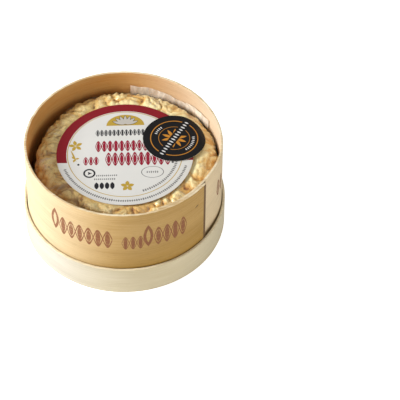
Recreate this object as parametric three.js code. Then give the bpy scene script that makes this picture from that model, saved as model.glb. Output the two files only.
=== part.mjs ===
// A small soft cheese wheel in its round box of peeled wood.
// The box stands in its own upturned lid. The wheel is wrapped in clear film, with a round
// paper label on top and a smaller round sticker that laps over the label's edge.
// Units are millimetres and degrees. +Z is up, the lid's panel lies on z = 0, and the box's
// axis is the Z axis. Azimuths run anticlockwise from +X, seen from above.
import * as THREE from "three";

// ---- Driving dimensions -------------------------------------------------------------------

const CHEESE_DIAMETER = 81;
const CHEESE_HEIGHT = 38;
const TOP_EDGE_RADIUS = 7; // rounding between the rind's top and its side
const BASE_EDGE_RADIUS = 4; // rounding between the side and the underside
const CHEESE_SHIFT = 1.8; // how far the wheel sits from the box's axis
const CHEESE_SHIFT_AZIMUTH = 56;
const RIND_LUMP = 0.7; // height of the rind's folds above and below its mean surface
const RIND_SWELL = 0.25; // height of the slow waves over the whole top

const VENEER = 1.1; // thickness of both bent bands
const BOARD = 1.8; // thickness of the box's floor and of the lid's panel
const CHEESE_PLAY = 3.9; // mean room between the rind and the box's wall
const HEADROOM = 8.65; // from the rind's top to the box's rim
const LID_PLAY = 0.4; // room between the box's wall and the lid's wall
const LID_HEIGHT = 15.6;
const BOX_SEAM_AZIMUTH = -36.6; // where the box band's outer end shows
const BOX_LAP = 34; // how far the box band's ends overlap, in degrees
const LID_SEAM_AZIMUTH = 150;
const LID_LAP = 28;
const LAP_EASE = 28; // the turn over which a band steps past its own thickness
const GLUE_LINE = 0.1; // gap between a band's lapped ends

const FILM = 0.25; // thickness of the clear film, far over the real one so that it is a solid
const FILM_HEM = 9; // how far the film is tucked under the wheel
const PLEAT_HEIGHT = 7.5; // how far the film's gathered edge stands up
const PLEAT_WIDTH = 0.7;
const PLEAT_FROM = -45; // azimuths between which the gathered edge stands
const PLEAT_TO = 92;
const PLEAT_WAVES = 18; // folds of the gathered edge in a full turn

const LABEL_DIAMETER = 63;
const LABEL_PLACE = [0.5, -0.4];
const STICKER_DIAMETER = 29;
const STICKER_INSET = 2.6; // from the sticker's outermost point to the wheel's side
const STICKER_AZIMUTH = 16.7; // seen from the wheel's axis
const PAPER = 0.25; // thickness of the label and of the sticker
const PAPER_BEND = 35; // the paper follows the wheel's edge to this tilt and then runs straight

const FIT = 0.3; // gap between the wooden pieces
const SKIN_GAP = 0.25; // gap between the rind, the film, the label and the sticker

// ---- Derived places -----------------------------------------------------------------------

const rad = THREE.MathUtils.degToRad;
const cheeseRadius = CHEESE_DIAMETER / 2;
const boxOuterRadius = cheeseRadius + CHEESE_PLAY + VENEER;
const lidOuterRadius = boxOuterRadius + LID_PLAY + VENEER;
const lapStep = VENEER + GLUE_LINE; // a band's radius changes by this where it laps itself
const boxBase = BOARD + FIT;
const floorTop = boxBase + BOARD;
const cheeseBase = floorTop + SKIN_GAP + FILM + SKIN_GAP;
const cheeseTop = cheeseBase + CHEESE_HEIGHT;
const boxRim = cheeseTop + HEADROOM;
const cheeseAxis = polar(CHEESE_SHIFT, CHEESE_SHIFT_AZIMUTH);
const stickerCentre = polar(
  cheeseRadius - STICKER_INSET - STICKER_DIAMETER / 2,
  STICKER_AZIMUTH,
).add(cheeseAxis);
const labelCentre = new THREE.Vector2(...LABEL_PLACE);

// Smallest gap between the wheel in its film and the box's wall, where the wheel sits closest.
const wallGap = CHEESE_PLAY - CHEESE_SHIFT - RIND_LUMP - SKIN_GAP - FILM;
const labelLift = SKIN_GAP + FILM + SKIN_GAP;
const stickerLift = labelLift + PAPER + SKIN_GAP;

const TURN_STEPS = 56; // facets round the wheel
const BAND_STEP = 4; // degrees between the points along a bent band

// ---- Helpers ------------------------------------------------------------------------------

function polar(distance, azimuth) {
  return new THREE.Vector2(distance * Math.cos(rad(azimuth)), distance * Math.sin(rad(azimuth)));
}

// Triangles between rings of points that follow one another from the top outwards and down.
// A ring is either one point or as many points as the others.
function facesBetween(rings, firstPoint) {
  const faces = [];
  let upperStart = firstPoint;
  for (let i = 0; i + 1 < rings.length; i++) {
    const [upper, lower] = [rings[i].length, rings[i + 1].length];
    const lowerStart = upperStart + upper;
    for (let j = 0; j < Math.max(upper, lower); j++) {
      const a = upperStart + (j % upper);
      const b = upperStart + ((j + 1) % upper);
      const c = lowerStart + ((j + 1) % lower);
      const d = lowerStart + (j % lower);
      if (upper > 1) faces.push([a, d, b]);
      if (lower > 1) faces.push([b, d, c]);
    }
    upperStart = lowerStart;
  }
  return faces;
}

function solid(rings, faces) {
  const geometry = new THREE.BufferGeometry().setFromPoints(rings.flat());
  geometry.setIndex(faces.flat());
  geometry.computeVertexNormals();
  return geometry;
}

// A closed body whose first and last rings are single points.
function bodyFromRings(rings) {
  return solid(rings, facesBetween(rings, 0));
}

// A closed skin between an outer and an inner surface, both starting at a point on top. Its two
// surfaces are cut into triangles the same way, so that one never crosses the other.
function skinFromRings(outer, inner) {
  const outerCount = outer.flat().length;
  const outerHem = outerCount - outer.at(-1).length;
  const innerHem = outerCount + inner.flat().length - inner.at(-1).length;
  const hemFaces = outer.at(-1).flatMap((_, j, { length }) => {
    const next = (j + 1) % length;
    return [
      [outerHem + j, innerHem + j, outerHem + next],
      [outerHem + next, innerHem + j, innerHem + next],
    ];
  });
  const innerFaces = facesBetween(inner, outerCount).map(([a, b, c]) => [a, c, b]);
  return solid([...outer, ...inner], [...facesBetween(outer, 0), ...innerFaces, ...hemFaces]);
}

// A thin round sheet whose underside keeps the height that `heightAt` gives.
function sheetDisc({ radius, centre, steps, ringCount, heightAt, thickness }) {
  const surface = (lift) =>
    Array.from({ length: ringCount + 1 }, (_, i) => {
      const count = i > 0 ? steps : 1;
      return Array.from({ length: count }, (_, j) => {
        const turn = (2 * Math.PI * j) / steps;
        const x = centre.x + ((radius * i) / ringCount) * Math.cos(turn);
        const y = centre.y + ((radius * i) / ringCount) * Math.sin(turn);
        return new THREE.Vector3(x, y, heightAt(x, y) + lift);
      });
    });
  return skinFromRings(surface(thickness), surface(0));
}

// A round board lying flat.
function board({ radius, base, centre = new THREE.Vector2() }) {
  const geometry = new THREE.CylinderGeometry(radius, radius, BOARD, 360 / BAND_STEP);
  geometry.rotateX(Math.PI / 2);
  geometry.translate(centre.x, centre.y, base + BOARD / 2);
  return geometry;
}

// A band of veneer bent round once, with its ends lapped. It starts at `seam` and runs one turn
// and `lap` degrees further, clockwise for turn = -1. Its outer face keeps `radius` until it
// nears its own start, and there steps past it by `step`, inwards if that is negative.
function bentBand({ radius, height, base, seam, lap, step, turn }) {
  const outerRadiusAt = (travelled) =>
    radius + step * THREE.MathUtils.smoothstep(travelled, 358 - LAP_EASE, 358);
  const pointAt = (travelled, depth) =>
    polar(outerRadiusAt(travelled) - depth, seam + turn * travelled);
  const length = 360 + lap;
  const count = Math.round(length / BAND_STEP);
  const travels = Array.from({ length: count + 1 }, (_, i) => (length * i) / count);
  const outline = [
    ...travels.map((t) => pointAt(t, 0)),
    ...[...travels].reverse().map((t) => pointAt(t, VENEER)),
  ];
  const geometry = new THREE.ExtrudeGeometry(new THREE.Shape(outline), {
    depth: height,
    bevelEnabled: false,
  });
  geometry.translate(0, 0, base);
  return geometry;
}

// ---- The wheel's surface ------------------------------------------------------------------

// Slow waves over the wheel's top, which the film, the label and the sticker follow.
function swellAt(x, y) {
  return RIND_SWELL * Math.sin(x / 15 + 0.6) * Math.cos(y / 18 - 0.4);
}

// Share of the rind's full folding at a place: the label and the sticker press the rind flat.
function freeShare(x, y) {
  const place = new THREE.Vector2(x, y);
  const fromLabel = place.distanceTo(labelCentre) - LABEL_DIAMETER / 2;
  const fromSticker = place.distanceTo(stickerCentre) - STICKER_DIAMETER / 2;
  return THREE.MathUtils.smoothstep(Math.min(fromLabel, fromSticker), 4.5, 8);
}

// Folds of the rind, from -1 to 1.
function foldsAt(x, y, z) {
  const a = Math.sin(0.61 * x + 0.25 * y + 0.31 * z + 1.1);
  const b = Math.sin(-0.33 * x + 0.57 * y + 0.22 * z + 2.3);
  const c = Math.sin(0.2 * x - 0.66 * y + 0.44 * z + 0.4);
  return (a + b + c) / 3;
}

// Height of paper laid on the wheel's top, before its lift above the rind.
function paperHeightAt(x, y) {
  const fromAxis = Math.hypot(x - cheeseAxis.x, y - cheeseAxis.y);
  const pastFlat = Math.max(0, fromAxis - (cheeseRadius - TOP_EDGE_RADIUS));
  const bent = Math.min(pastFlat, TOP_EDGE_RADIUS * Math.sin(rad(PAPER_BEND)));
  const straight = pastFlat - bent;
  const bentDrop = TOP_EDGE_RADIUS - Math.sqrt(TOP_EDGE_RADIUS ** 2 - bent ** 2);
  return cheeseTop + swellAt(x, y) - bentDrop - straight * Math.tan(rad(PAPER_BEND));
}

// Stations down the wheel's outline: distance from its axis, height and outward direction.
function outlineStations() {
  const stations = [];
  const add = (r, z, tilt) =>
    stations.push({ r, z, out: Math.sin(rad(tilt)), up: Math.cos(rad(tilt)) });
  const flat = cheeseRadius - TOP_EDGE_RADIUS;
  for (let i = 0; i <= 7; i++) add((flat * i) / 7, cheeseTop, 0);
  for (let tilt = 18; tilt <= 90; tilt += 18) {
    const [s, c] = [Math.sin(rad(tilt)), Math.cos(rad(tilt))];
    add(flat + TOP_EDGE_RADIUS * s, cheeseTop - TOP_EDGE_RADIUS * (1 - c), tilt);
  }
  const sideTop = cheeseTop - TOP_EDGE_RADIUS;
  const sideBase = cheeseBase + BASE_EDGE_RADIUS;
  for (let i = 1; i <= 4; i++) add(cheeseRadius, sideTop + ((sideBase - sideTop) * i) / 4, 90);
  const foot = cheeseRadius - BASE_EDGE_RADIUS;
  for (let tilt = 120; tilt <= 180; tilt += 30) {
    const [s, c] = [Math.sin(rad(tilt)), Math.cos(rad(tilt))];
    add(foot + BASE_EDGE_RADIUS * s, cheeseBase + BASE_EDGE_RADIUS * (1 + c), tilt);
  }
  add(cheeseRadius - BASE_EDGE_RADIUS - FILM_HEM, cheeseBase, 180);
  add(cheeseRadius / 3, cheeseBase, 180);
  add(0, cheeseBase, 180);
  return stations;
}

// One ring of the wheel's surface, or of a skin that lies `lift` outside it.
function wheelRing({ r, z, out, up }, lift = 0) {
  const count = r > 0 ? TURN_STEPS : 1;
  return Array.from({ length: count }, (_, j) => {
    const turn = (2 * Math.PI * j) / TURN_STEPS;
    const [cos, sin] = [Math.cos(turn), Math.sin(turn)];
    const x = cheeseAxis.x + r * cos;
    const y = cheeseAxis.y + r * sin;
    const share = up > 0 ? freeShare(x, y) : 1;
    const folds = foldsAt(x, y, z);
    // Under the label and on the underside the folds only sink in, so those faces stay flat.
    const pressed = up < 0 ? 0 : share * folds + (1 - share) * Math.min(0, 0.4 * folds);
    const lumps = RIND_LUMP * pressed;
    const swell = up > 0 ? swellAt(x, y) * up : 0;
    return new THREE.Vector3(
      x + (lumps + lift) * out * cos,
      y + (lumps + lift) * out * sin,
      z + (lumps + lift) * up + swell,
    );
  });
}

// ---- Pieces -------------------------------------------------------------------------------

const root = new THREE.Group();

function addPiece(name, geometry, color, roughness) {
  const material = new THREE.MeshStandardMaterial({ color, roughness, metalness: 0 });
  const mesh = new THREE.Mesh(geometry, material);
  mesh.name = name;
  root.add(mesh);
}

function cheeseWheel() {
  return bodyFromRings(outlineStations().map((station) => wheelRing(station)));
}

// The film covers the top and the side and is tucked under the edge, open in the middle below.
// Its gathered edge stands up as a pleated ridge between the wheel and the box's wall.
function filmWrap() {
  const stations = outlineStations();
  const covered = stations.slice(0, stations.length - 2);
  const inner = covered.map((station) => wheelRing(station, SKIN_GAP));
  const outer = covered.map((station) => wheelRing(station, SKIN_GAP + FILM));
  const ridgeAfter = covered.findIndex(({ out, up }) => up > 0 && out > 0.9);
  outer.splice(ridgeAfter + 1, 0, ...pleatRings(outer[ridgeAfter], outer[ridgeAfter + 1]));
  return skinFromRings(outer, inner);
}

// How far the film's gathered edge stands up at a turn, from 0 to 1, with its ends eased off.
function standingAt(turn) {
  const middle = rad((PLEAT_FROM + PLEAT_TO) / 2);
  const away = Math.abs(turn - middle) / rad((PLEAT_TO - PLEAT_FROM) / 2);
  return THREE.MathUtils.smoothstep(1 - away, 0, 0.25);
}

// The inner and the outer top edge of the pleated ridge, which rises between the film's rings
// just above and just below it. The folds take up to half the room left at the box's wall.
function pleatRings(above, below) {
  const edgeAt = (share) =>
    above.map((point, j) => {
      const turn = (2 * Math.PI * j) / TURN_STEPS;
      const standing = standingAt(turn);
      const fold = 0.5 + 0.5 * Math.sin(PLEAT_WAVES * turn);
      const outwards = standing * (share * PLEAT_WIDTH + (wallGap - PLEAT_WIDTH) * fold) * 0.5;
      const place = point.clone().lerp(below[j], 0.3 + 0.4 * share);
      place.x += outwards * Math.cos(turn);
      place.y += outwards * Math.sin(turn);
      place.z += standing * (point.z - place.z + PLEAT_HEIGHT * (0.65 + 0.35 * fold));
      return place;
    });
  return [edgeAt(0), edgeAt(1)];
}

function paperLabel() {
  return sheetDisc({
    radius: LABEL_DIAMETER / 2,
    centre: labelCentre,
    steps: 64,
    ringCount: 5,
    heightAt: (x, y) => paperHeightAt(x, y) + labelLift,
    thickness: PAPER,
  });
}

function roundSticker() {
  return sheetDisc({
    radius: STICKER_DIAMETER / 2,
    centre: stickerCentre,
    steps: 48,
    ringCount: 5,
    heightAt: (x, y) => paperHeightAt(x, y) + stickerLift,
    thickness: PAPER,
  });
}

function boxHoop() {
  return bentBand({
    radius: boxOuterRadius,
    height: boxRim - boxBase,
    base: boxBase,
    seam: BOX_SEAM_AZIMUTH,
    lap: BOX_LAP,
    step: -lapStep,
    turn: -1,
  });
}

// The floor is a plain disc. The band's inner end takes up some of the room, so the disc lies
// half a step off the axis, away from the lap.
function boxFloor() {
  return board({
    radius: boxOuterRadius - VENEER - lapStep / 2 - FIT,
    base: boxBase,
    centre: polar(-lapStep / 2, BOX_SEAM_AZIMUTH - BOX_LAP / 2),
  });
}

// The lid's band laps outwards, so that its inside stays round for the box.
function lidHoop() {
  return bentBand({
    radius: lidOuterRadius,
    height: LID_HEIGHT,
    base: 0,
    seam: LID_SEAM_AZIMUTH,
    lap: LID_LAP,
    step: lapStep,
    turn: -1,
  });
}

function lidPanel() {
  return board({ radius: lidOuterRadius - VENEER - FIT, base: 0 });
}

addPiece("cheese_wheel", cheeseWheel(), 0xe3cf98, 0.55);
addPiece("film_wrap", filmWrap(), 0xf4f1ea, 0.15);
addPiece("paper_label", paperLabel(), 0xeeece6, 0.45);
addPiece("round_sticker", roundSticker(), 0x1b1a1c, 0.3);
addPiece("box_hoop", boxHoop(), 0xd9b77c, 0.65);
addPiece("box_floor", boxFloor(), 0xdcbf8a, 0.65);
addPiece("lid_hoop", lidHoop(), 0xeadfbe, 0.65);
addPiece("lid_panel", lidPanel(), 0xe6d8b2, 0.65);

export default root;
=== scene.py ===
"""A soft cheese wheel in clear film, in a round veneer box that stands in its upturned lid.

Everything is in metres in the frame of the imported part: +Z up along the box's axis, the lid's
panel on z = 0. Patterns are worked out in millimetres, which suit their scale.
"""

import math

import bpy
import numpy as np
from mathutils import Matrix, Vector, noise


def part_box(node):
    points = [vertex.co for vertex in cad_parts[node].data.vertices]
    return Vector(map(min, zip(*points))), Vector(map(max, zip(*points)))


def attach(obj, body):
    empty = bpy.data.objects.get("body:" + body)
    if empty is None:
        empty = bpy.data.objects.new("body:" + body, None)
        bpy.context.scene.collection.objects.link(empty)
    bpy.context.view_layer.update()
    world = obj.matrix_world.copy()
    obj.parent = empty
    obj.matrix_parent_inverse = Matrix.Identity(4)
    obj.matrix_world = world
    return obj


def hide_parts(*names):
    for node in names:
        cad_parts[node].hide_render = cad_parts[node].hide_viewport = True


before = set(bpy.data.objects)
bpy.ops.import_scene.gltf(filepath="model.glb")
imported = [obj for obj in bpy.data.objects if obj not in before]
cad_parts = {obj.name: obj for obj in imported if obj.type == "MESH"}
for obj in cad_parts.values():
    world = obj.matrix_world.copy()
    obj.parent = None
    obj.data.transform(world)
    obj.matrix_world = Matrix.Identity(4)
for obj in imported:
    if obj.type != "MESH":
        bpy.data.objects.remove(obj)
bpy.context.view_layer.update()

bl_info = {
    "name": "Boxed cheese wheel",
    "version": (1, 0, 0),
    "blender": (4, 5, 0),
    "location": "View3D > Sidebar > Cheese",
    "description": "Models a film-wrapped cheese wheel in its round wooden box",
    "category": "Add Mesh",
}

MM = 0.001
noise.seed_set(4)  # the drift of the folds depends on it

# ---- Places and sizes -----------------------------------------------------------------------


def cad_box(node):
    """The lowest and the highest corner of one CAD node."""
    low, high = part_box(node)
    return np.array(low), np.array(high)


RIND_LOW, RIND_HIGH = cad_box("cheese_wheel")
LABEL_LOW, LABEL_HIGH = cad_box("paper_label")
STICKER_LOW, STICKER_HIGH = cad_box("round_sticker")
BOX_LOW, BOX_HIGH = cad_box("box_hoop")
LID_LOW, LID_HIGH = cad_box("lid_hoop")
FLOOR_LOW, FLOOR_HIGH = cad_box("box_floor")
PANEL_LOW, PANEL_HIGH = cad_box("lid_panel")

LUMP_ALLOWANCE = 0.4 * MM  # how far the folds widen the wheel's box on each side
SWELL_ALLOWANCE = 0.2 * MM  # how far the slow waves raise its top
WHEEL_AXIS = (RIND_LOW[:2] + RIND_HIGH[:2]) / 2
WHEEL_RADIUS = (RIND_HIGH[0] - RIND_LOW[0]) / 2 - LUMP_ALLOWANCE
WHEEL_TOP = RIND_HIGH[2] - SWELL_ALLOWANCE
WHEEL_BASE = RIND_LOW[2]
TOP_EDGE = 7 * MM  # rounding between the wheel's top and its side
BASE_EDGE = 4 * MM  # rounding between its side and its underside
SLUMPS = ((2.3, -8, 80), (1.4, 115, 60), (1.6, 190, 60))  # mm, azimuth, half width in degrees

MEAN_RIDGE = 0.58  # the height of a fold, from 0 to 1, that lies on the wheel's mean surface
PRESSED_RIND = 0.25 * MM  # how far the label presses the rind in
PRESSED_FILM = 0.35 * MM  # from the mean surface to the film under the label
FILM_FLOOR = 0.1 * MM  # from the mean surface to the film where it bridges the creases
FILM_CREASE = 0.25 * MM  # how high the film's own creases stand
FILM_HEM = 14 * MM  # how far it runs in under the wheel
RIND_MARGIN, FILM_MARGIN = 2.2 * MM, 3 * MM  # over which each comes free of the label
RIND_SPACING, RIND_STEPS = 0.42 * MM, 500  # along its outline, and round the axis
FILM_SPACING, FILM_STEPS = 0.6 * MM, 400
CREST_LEAN = 0.6  # millimetres from the wall to the upper edge of the film's loose lengths

LABEL_CENTRE = (LABEL_LOW[:2] + LABEL_HIGH[:2]) / 2
LABEL_RADIUS = (LABEL_HIGH[0] - LABEL_LOW[0]) / 2
LABEL_LEVEL = (LABEL_LOW[2] + LABEL_HIGH[2]) / 2
STICKER_CENTRE = (STICKER_LOW[:2] + STICKER_HIGH[:2]) / 2
STICKER_RADIUS = (STICKER_HIGH[0] - STICKER_LOW[0]) / 2
STICKER_LEVEL = LABEL_LEVEL + 0.4 * MM  # clear of the label below it
PAPER_TURN = 0.57  # the share of the rounding at the wheel's top that stiff paper follows
PAPER_SLOPE = 0.7  # how steeply it then runs straight on

BOX_RADIUS = (BOX_HIGH[1] - BOX_LOW[1]) / 2
LID_RADIUS = (LID_HIGH[1] - LID_LOW[1]) / 2
VENEER = 1.1 * MM
GLUE_LINE = 0.1 * MM  # between the two ends of a band where they lap
BOX_SEAM, BOX_LAP = -36.6, 34  # degrees: where a band starts, and how far its ends lap
LID_SEAM, LID_LAP = 150, 28
LAP_ROOM = 1.3 * MM  # what the band's inner end takes up inside the box
LAP_MARGIN = 4  # degrees on either side of the lapped end that are kept clear too
RIND_ROOM, FILM_ROOM, FLAP_ROOM = 0.7 * MM, 0.3 * MM, 0.25 * MM  # least gaps to the box's wall


# ---- Settings -------------------------------------------------------------------------------


def colour(name, description, value):
    """A colour setting with linear values."""
    return bpy.props.FloatVectorProperty(
        name=name, description=description, subtype="COLOR", size=3, min=0, max=1, default=value
    )


def amount(name, description, value, unit="NONE", precision=2):
    """A setting that is zero or more."""
    return bpy.props.FloatProperty(
        name=name, description=description, default=value, min=0, unit=unit, precision=precision
    )


def length(name, description, value):
    """A length setting in metres."""
    return amount(name, description, value, "LENGTH", precision=5)


class CheeseRindSettings(bpy.types.PropertyGroup):
    fold_height: length("Fold height", "Height of the rind's folds", 2.5 * MM)
    fold_size: length("Fold size", "Mean width of one fold", 6.2 * MM)
    # crease is partly painted shade in the creases, and cream partly a painted highlight on the
    # ridges.
    cream: colour("Cream", "The ridges of the folds", (0.98, 0.83, 0.43))
    golden: colour("Golden", "The slopes of the folds", (0.84, 0.50, 0.13))
    amber: colour("Amber", "The shoulder, where the rind turns down", (0.66, 0.33, 0.06))
    crease: colour("Crease", "The bottoms of the creases", (0.42, 0.16, 0.03))
    # shade is a painted tone that lifts the rind's left, which the box's left wall shades; vein is
    # partly painted shade in its creases and fine lines.
    shade: colour("Shade", "The older part of the rind", (1.0, 0.75, 0.29))
    vein: colour("Vein", "Creases and fine lines in the older rind", (0.42, 0.26, 0.09))


class CheeseFilmSettings(bpy.types.PropertyGroup):
    thickness: length("Thickness", "Thickness of the clear film", 0.06 * MM)
    clearance: length("Clearance", "From the rind to the film that clings to it", 0.25 * MM)
    offset: length("Offset", "From the rind's mean surface to the unshaped film", 1.0 * MM)
    tint: colour("Tint", "The film where it is doubled", (0.97, 0.88, 0.75))


class CheesePaperSettings(bpy.types.PropertyGroup):
    thickness: length("Thickness", "Thickness of the label and of the sticker", 0.14 * MM)
    paper: colour("Paper", "The label's white", (0.76, 0.75, 0.71))
    maroon: colour("Maroon", "The label's upper ring", (0.25, 0.012, 0.020))
    red: colour("Red", "The label's main lines", (0.30, 0.014, 0.035))
    gold: colour("Gold", "The label's lines and leaves", (0.50, 0.33, 0.05))
    sheaf: colour("Sheaf", "The pale leaves over the label's arch", (0.55, 0.53, 0.50))
    ink: colour("Ink", "The label's dark marks", (0.02, 0.02, 0.025))
    black: colour("Black", "The sticker's ground", (0.006, 0.006, 0.007))
    orange: colour("Orange", "The sticker's rings and rosette", (0.58, 0.24, 0.03))
    white: colour("White", "The sticker's strokes", (0.75, 0.75, 0.74))


class CheeseWoodSettings(bpy.types.PropertyGroup):
    box_pale: colour("Box, pale", "Early wood of the box", (0.62, 0.40, 0.155))
    box_deep: colour("Box, deep", "Late wood of the box", (0.50, 0.29, 0.075))
    golden: colour("Golden", "Where the box's veneer is deepest", (0.44, 0.25, 0.05))
    # Painted light: a paler tone on the box's lit left and on the far side of its joint.
    painted_light: colour("Faded", "Where the box's veneer has faded", (0.84, 0.67, 0.42))
    inner_pale: colour("Inside, pale", "Early wood inside the box", (0.60, 0.33, 0.10))
    inner_deep: colour("Inside, deep", "Late wood inside the box", (0.52, 0.225, 0.045))
    # Painted light: a warmer, brighter tone that lifts the shaded left of the box's inside.
    inner_left_painted_light: colour("Inside, warm", "The left of the box's inside", (1.0, 0.45, 0.13))
    # Painted light: a paler tone where the key light falls on the right of the box's inside.
    inner_right_painted_light: colour("Inside, faded", "The right of the box's inside", (0.82, 0.66, 0.47))
    # Painted light: a whiter tone where the key light falls on the lid's left.
    lid_painted_light: colour("Lid, faded", "The left of the lid", (0.68, 0.64, 0.56))
    lid_pale: colour("Lid, pale", "Early wood of the lid", (0.68, 0.59, 0.40))
    lid_deep: colour("Lid, deep", "Late wood of the lid", (0.60, 0.50, 0.30))
    stamp: colour("Stamp", "The ornament stamped on the box", (0.24, 0.075, 0.022))
    # Painted shade for the dark line of the joint; also the colour of the real fleck.
    shadow: colour("Shadow", "The dark line of the box's joint", (0.10, 0.05, 0.02))
    edge: colour("Edge", "The pale cut edges", (0.92, 0.80, 0.56))
    edge_rounding: length("Edge rounding", "Rounding of the cut edges", 0.12 * MM)


class CheeseStageSettings(bpy.types.PropertyGroup):
    key_power: amount("Key power", "Power of the light on the left", 16.3, "POWER")
    reflector_power: amount("Reflector power", "Power of the light in front", 6.5, "POWER")
    fill: amount("Fill", "Strength of the white surroundings", 0.36)
    floor_glow: amount("Floor glow", "How brightly the floor shows", 0.75)
    floor: colour("Floor", "The pale floor", (0.85, 0.85, 0.85))


class CheeseSettings(bpy.types.PropertyGroup):
    rind: bpy.props.PointerProperty(type=CheeseRindSettings, name="Rind")
    film: bpy.props.PointerProperty(type=CheeseFilmSettings, name="Film")
    paper: bpy.props.PointerProperty(type=CheesePaperSettings, name="Paper")
    wood: bpy.props.PointerProperty(type=CheeseWoodSettings, name="Wood")
    stage: bpy.props.PointerProperty(type=CheeseStageSettings, name="Stage")


# ---- Mesh helpers ---------------------------------------------------------------------------


def start_clean():
    """Object mode with nothing selected, because an operator acts on all that is selected."""
    if bpy.context.object and bpy.context.object.mode != "OBJECT":
        bpy.ops.object.mode_set(mode="OBJECT")
    bpy.ops.object.select_all(action="DESELECT")


def pick(piece):
    """Selects one piece alone and makes it the active one."""
    start_clean()
    piece.select_set(True)
    bpy.context.view_layer.objects.active = piece


def named(name):
    """Names the active object and its mesh."""
    piece = bpy.context.object
    piece.name = piece.data.name = name
    return piece


def turned(name, outline, steps):
    """A round body: an outline drawn from a single vertex, then spun about the Z axis."""
    start_clean()
    first = Vector((outline[0][0], 0, outline[0][1]))
    bpy.ops.mesh.primitive_plane_add(size=MM, location=first)
    piece = named(name)
    bpy.ops.object.transform_apply(location=True)
    bpy.ops.object.mode_set(mode="EDIT")
    bpy.ops.mesh.select_all(action="SELECT")
    bpy.ops.mesh.merge(type="CENTER")
    for (r0, z0), (r1, z1) in zip(outline, outline[1:]):
        bpy.ops.mesh.extrude_vertices_move(
            TRANSFORM_OT_translate={"value": (r1 - r0, 0, z1 - z0)}
        )
    bpy.ops.mesh.select_all(action="SELECT")
    bpy.ops.mesh.spin(steps=steps, angle=2 * math.pi, center=(0, 0, 0), axis=(0, 0, 1))
    bpy.ops.mesh.select_all(action="SELECT")
    bpy.ops.mesh.remove_doubles(threshold=0.001 * MM)
    bpy.ops.mesh.normals_make_consistent(inside=False)
    bpy.ops.object.mode_set(mode="OBJECT")
    return piece


def strip(name, columns, rows):
    """A flat unit strip, from -0.5 to 0.5 each way, with a UV map."""
    start_clean()
    bpy.ops.mesh.primitive_grid_add(x_subdivisions=columns, y_subdivisions=rows, size=1)
    return named(name)


def points_of(piece):
    """The places of a mesh's vertices."""
    flat = np.empty(len(piece.data.vertices) * 3)
    piece.data.vertices.foreach_get("co", flat)
    return flat.reshape(-1, 3)


def place_points(piece, points):
    """Moves a mesh's vertices."""
    piece.data.vertices.foreach_set("co", np.ascontiguousarray(points).ravel())
    piece.data.update()


def normals_of(piece):
    """The directions in which a mesh's vertices face."""
    flat = np.empty(len(piece.data.vertices) * 3)
    piece.data.vertex_normals.foreach_get("vector", flat)
    return flat.reshape(-1, 3)


def store(piece, name, values):
    """Keeps one number for each vertex, for the material."""
    attribute = piece.data.attributes.new(name, "FLOAT", "POINT")
    attribute.data.foreach_set("value", np.ascontiguousarray(values, dtype=np.float32))


def flip(piece):
    """Turns a sheet's faces over."""
    pick(piece)
    bpy.ops.object.mode_set(mode="EDIT")
    bpy.ops.mesh.select_all(action="SELECT")
    bpy.ops.mesh.flip_normals()
    bpy.ops.object.mode_set(mode="OBJECT")


def modify(piece, kind, **values):
    """Adds a modifier and applies it."""
    pick(piece)
    modifier = piece.modifiers.new(kind.title(), kind)
    for key, value in values.items():
        setattr(modifier, key, value)
    bpy.ops.object.modifier_apply(modifier=modifier.name)


def smooth(piece, degrees):
    """Smooth shading but for edges sharper than the angle."""
    pick(piece)
    bpy.ops.object.shade_smooth_by_angle(angle=math.radians(degrees))


def paint(piece, *materials):
    """Gives a piece its materials, before a wall's thickness picks among them."""
    for material in materials:
        piece.data.materials.append(material)


def finish(piece, slot, *nodes):
    """Puts a finished piece on the root body and hides the CAD nodes that it takes the place of."""
    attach(piece, "root")
    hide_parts(*nodes)


def smoothstep(values, low, high):
    """0 below low, 1 above high, with a soft passage."""
    share = np.clip((values - low) / (high - low), 0, 1)
    return share * share * (3 - 2 * share)


def noise_at(points, size, seed):
    """Smooth noise from -1 to 1 whose features are about `size` wide."""
    shift = Vector((seed * 7.3, seed * 3.1, seed * 5.7))
    return np.array([noise.noise(Vector(p) / size + shift) for p in points])


# ---- The wheel's surface --------------------------------------------------------------------


def from_centre(points, centre):
    """Distance from a vertical axis."""
    return np.hypot(points[:, 0] - centre[0], points[:, 1] - centre[1])


def free_share(points, margin):
    """0 under the label and the sticker, 1 where the rind is free to rise."""
    from_label = from_centre(points, LABEL_CENTRE) - LABEL_RADIUS
    from_sticker = from_centre(points, STICKER_CENTRE) - STICKER_RADIUS
    free = smoothstep(np.minimum(from_label, from_sticker), -0.3 * MM, margin)
    below = smoothstep(WHEEL_TOP - points[:, 2], 2.5 * MM, 5 * MM)
    return np.maximum(free, below)


def swell(points):
    """Slow waves over the wheel's top, about 100 mm long and 0.25 mm high."""
    x, y = points[:, 0] / MM, points[:, 1] / MM
    return 0.25 * MM * np.sin(x / 15 + 0.6) * np.cos(y / 18 - 0.4)


def top_swell(points):
    """The slow waves, on the top and its rounded edge only."""
    return swell(points) * (points[:, 2] > WHEEL_TOP - TOP_EDGE)


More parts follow.
